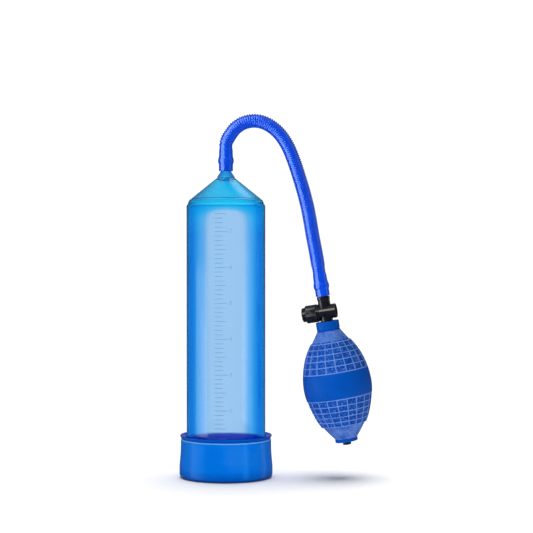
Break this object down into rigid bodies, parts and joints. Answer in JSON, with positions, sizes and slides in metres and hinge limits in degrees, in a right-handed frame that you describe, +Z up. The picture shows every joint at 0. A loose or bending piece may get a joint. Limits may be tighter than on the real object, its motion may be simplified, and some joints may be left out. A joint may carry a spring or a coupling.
{
  "type": "hand vacuum pump",
  "caption": "Hand vacuum pump: a clear cylinder with a conical top in a soft base sleeve, a corrugated hose, and a squeeze bulb with check valves and a push-button release valve.",
  "frame": {"origin": "on the surface that it stands on, under the middle of the cylinder and the bulb", "axes": "+Z up along the cylinder, +X from the cylinder towards the bulb, +Y to the back"},
  "size_m": [0.1393, 0.0676, 0.2634],
  "materials": {
    "clear_blue_plastic": "clear, polished and tinted blue",
    "blue_sleeve_rubber": "soft, slightly translucent satin",
    "blue_hose_plastic": "soft glossy vinyl",
    "blue_bulb_rubber": "matt, with a moulded grip",
    "black_plastic": "moulded, half gloss",
    "black_rubber": "matt",
    "spring_steel": "bright wire"
  },
  "bodies": {
    "sleeve": {"base_sleeve": "blue_sleeve_rubber"},
    "cylinder": {"cylinder_tube": "clear_blue_plastic", "cone_cap": "clear_blue_plastic", "hose_nozzle": "clear_blue_plastic"},
    "hose": {"hose": "blue_hose_plastic", "hose_cuff_upper": "blue_hose_plastic", "hose_cuff_lower": "blue_hose_plastic"},
    "bulb": {"squeeze_bulb": "blue_bulb_rubber", "valve_body": "black_plastic", "valve_cap": "black_plastic", "stem_seal": "black_rubber", "inlet_cage": "black_plastic", "exhaust_valve_body": "black_plastic", "exhaust_seat": "black_plastic", "button_spring": "spring_steel"},
    "button": {"release_button": "black_plastic", "valve_plunger": "black_plastic", "plunger_seal": "black_rubber"},
    "inlet_disc": {"inlet_disc": "black_rubber"},
    "exhaust_disc": {"exhaust_disc": "black_rubber"}
  },
  "joints": [
    {"name": "cylinder_lift", "type": "slide", "parent": "sleeve", "child": "cylinder", "axis": [0, 0, 1], "range_m": [0, 0.03]},
    {"name": "hose_swivel", "type": "hinge", "parent": "cylinder", "child": "hose", "pos_m": [-0.0358, 0, 0.222], "axis": [0, 0, 1], "continuous": true},
    {"name": "bulb_swivel", "type": "hinge", "parent": "hose", "child": "bulb", "pos_m": [0.03459, 0, 0.13142], "axis": [-0.1621, 0, 0.9868], "continuous": true},
    {"name": "button_press", "type": "slide", "parent": "bulb", "child": "button", "axis": [0.9652, -0.2079, 0.1586], "range_m": [0, 0.0022], "stiffness_N_per_m": 800, "springref_m": -0.002, "deforming": ["button_spring"]},
    {"name": "inlet_disc_lift", "type": "slide", "parent": "bulb", "child": "inlet_disc", "axis": [-0.1621, 0, 0.9868], "range_m": [0, 0.001]},
    {"name": "exhaust_disc_lift", "type": "slide", "parent": "bulb", "child": "exhaust_disc", "axis": [-0.1621, 0, 0.9868], "range_m": [0, 0.001]}
  ]
}
